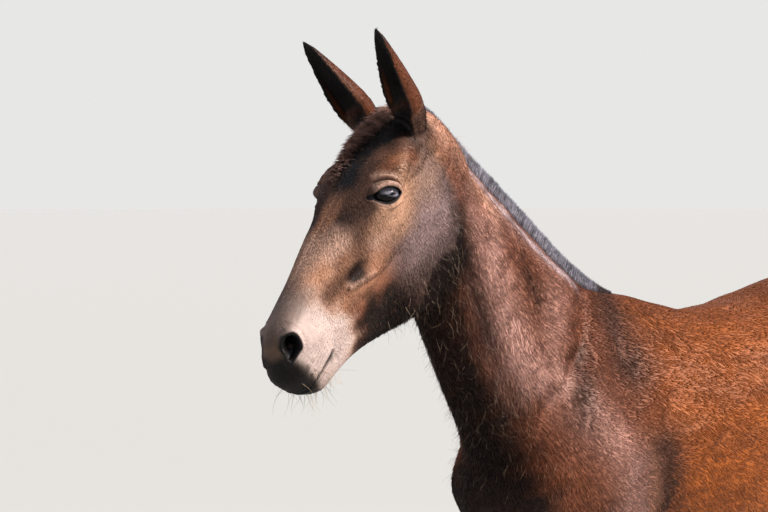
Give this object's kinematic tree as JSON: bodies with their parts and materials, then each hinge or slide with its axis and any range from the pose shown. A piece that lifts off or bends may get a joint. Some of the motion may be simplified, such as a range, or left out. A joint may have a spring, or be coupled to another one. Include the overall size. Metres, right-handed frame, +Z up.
{
  "type": "mule",
  "caption": "Life-size still model of a standing bay mule with long pricked ears, a clipped upright mane and a hanging tail.",
  "frame": {"origin": "on the floor, under the middle of the animal's bounding box", "axes": "+X is the way the mule faces, +Y is its left side, +Z is up; the soles stand at z = 0"},
  "size_m": [2.212, 0.4876, 1.9811],
  "materials": {
    "coat": "short glossy reddish-brown hair",
    "leg_coat": "short dark-brown hair",
    "horn": "worn dark horn with growth rings",
    "eye": "wet and glossy",
    "mane_hair": "stiff clipped dark-grey hair",
    "tail_hair": "long coarse black hair"
  },
  "bodies": {
    "root": {"torso": "coat", "neck": "coat", "head": "coat", "ear_left": "coat", "ear_right": "coat", "eye_left": "eye", "eye_right": "eye", "foreleg_left": "leg_coat", "foreleg_right": "leg_coat", "hindleg_left": "leg_coat", "hindleg_right": "leg_coat", "hoof_fore_left": "horn", "hoof_fore_right": "horn", "hoof_hind_left": "horn", "hoof_hind_right": "horn", "mane": "mane_hair", "forelock": "mane_hair", "tail": "tail_hair"}
  },
  "joints": []
}
